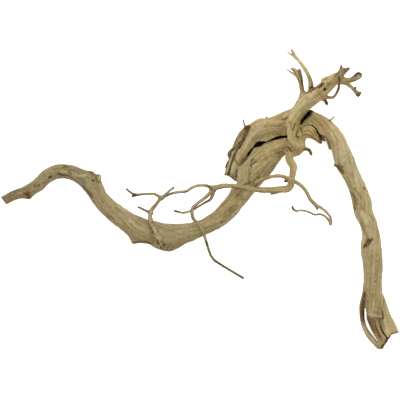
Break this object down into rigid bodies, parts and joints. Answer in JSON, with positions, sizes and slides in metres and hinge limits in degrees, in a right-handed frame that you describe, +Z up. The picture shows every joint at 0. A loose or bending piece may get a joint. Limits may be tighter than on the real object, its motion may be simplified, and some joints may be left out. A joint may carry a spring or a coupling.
{
  "type": "spiderwood root",
  "caption": "Stripped, sun-pale driftwood root that lies on its side: a long sagging arm, a grooved knot, a leg with a torn hollow foot, a crossing branch and thin forked rootlets.",
  "frame": {"origin": "on the surface it lies on, under the middle of its box", "axes": "+X along its length, from the sawn tip to the foot; +Y across it, towards the crossing branch's twigs; +Z up"},
  "size_m": [0.4968, 0.3745, 0.1004],
  "materials": {
    "wood": "matte, bare, fibrous, unvarnished"
  },
  "bodies": {
    "root": {"spiderwood_root": "wood"}
  },
  "joints": []
}
